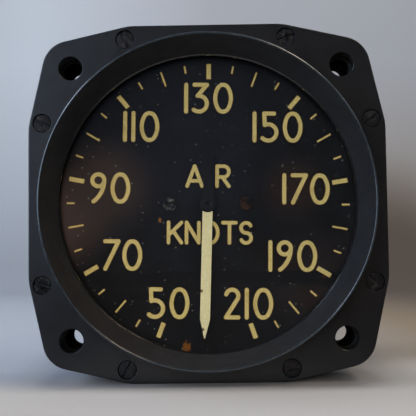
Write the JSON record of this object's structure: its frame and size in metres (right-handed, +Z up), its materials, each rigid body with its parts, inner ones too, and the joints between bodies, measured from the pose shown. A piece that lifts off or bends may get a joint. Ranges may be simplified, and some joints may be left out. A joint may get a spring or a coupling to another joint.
{
  "type": "airspeed indicator",
  "caption": "Panel-mounted dial airspeed indicator: square eared moulded bezel with raised ring, black dial with cream scale, pointer, pressure capsule movement, rear unions.",
  "frame": {"origin": "centre of the four mounting holes on the front face of the flange", "axes": "+Z up as the dial reads, -Y out of the dial towards the viewer, +X to the viewer's right"},
  "size_m": [0.0826, 0.098, 0.0826],
  "materials": {
    "bakelite": "moulded, satin, worn",
    "window_glass": "flat polished",
    "seal_rubber": "matt",
    "blackened_screw": "blackened, chewed slots",
    "dial_black": "matt paint",
    "cream_paint": "thick grainy paint",
    "pointer_black": "matt paint",
    "pointer_cream": "thick grainy paint",
    "steel": "turned",
    "blue_spring_steel": "blued",
    "brass": "turned, dulled",
    "capsule_bronze": "pressed sheet",
    "red_fibre": "fibre"
  },
  "bodies": {
    "housing": {"bezel": "bakelite", "case": "bakelite", "window_glass": "window_glass", "case_gasket": "seal_rubber", "glass_seal": "seal_rubber", "bezel_screws": "blackened_screw", "dial_screws": "blackened_screw", "dial": "dial_black", "dial_markings": "cream_paint", "pillar_screws": "steel", "frame_screws": "steel", "bracket_screws": "steel", "hairspring": "blue_spring_steel", "hairspring_stud": "brass", "front_plate": "brass", "rear_plate": "brass", "plate_pillars": "brass", "staff_bushes": "brass", "sector_bushes": "brass", "rocker_brackets": "brass", "capsule_stem": "brass", "pitot_union": "brass", "static_union": "brass", "union_nuts": "brass", "capsule": "capsule_bronze", "union_washers": "red_fibre"},
    "pointer_spindle": {"pointer": "pointer_black", "pointer_lume": "pointer_cream", "pointer_bush": "pointer_black", "handstaff": "steel", "hairspring_collet": "brass"},
    "sector": {"sector_gear": "brass", "sector_arbor": "steel", "balance_weight": "brass", "sector_crank": "steel"},
    "rocker": {"rocking_shaft": "steel", "drive_arm": "brass", "capsule_arm": "brass"},
    "capsule_centre": {"capsule_push_pin": "brass"}
  },
  "joints": [
    {"name": "pointer_turn", "type": "hinge", "parent": "housing", "child": "pointer_spindle", "pos_m": [0, 0.021, 0], "axis": [0, 1, 0], "range_deg": [0, 338.5], "stiffness_Nm_per_rad": 0.00001, "springref_deg": -11.46},
    {"name": "sector_turn", "type": "hinge", "parent": "housing", "child": "sector", "pos_m": [0, 0.021, 0.0162], "axis": [0, 1, 0], "range_deg": [-42.31, 0]},
    {"name": "rocker_turn", "type": "hinge", "parent": "housing", "child": "rocker", "pos_m": [0, 0.0475, 0.01475], "axis": [1, 0, 0], "range_deg": [-17, 0]},
    {"name": "capsule_push", "type": "slide", "parent": "housing", "child": "capsule_centre", "axis": [0, -1, 0], "range_m": [0, 0.00177]}
  ],
  "couplings": [
    {"joint": "sector_turn", "follows": "pointer_turn", "ratio": -0.125},
    {"joint": "rocker_turn", "follows": "pointer_turn", "ratio": -0.050222},
    {"joint": "capsule_push", "follows": "pointer_turn", "m_per_rad": 0.0002996}
  ]
}
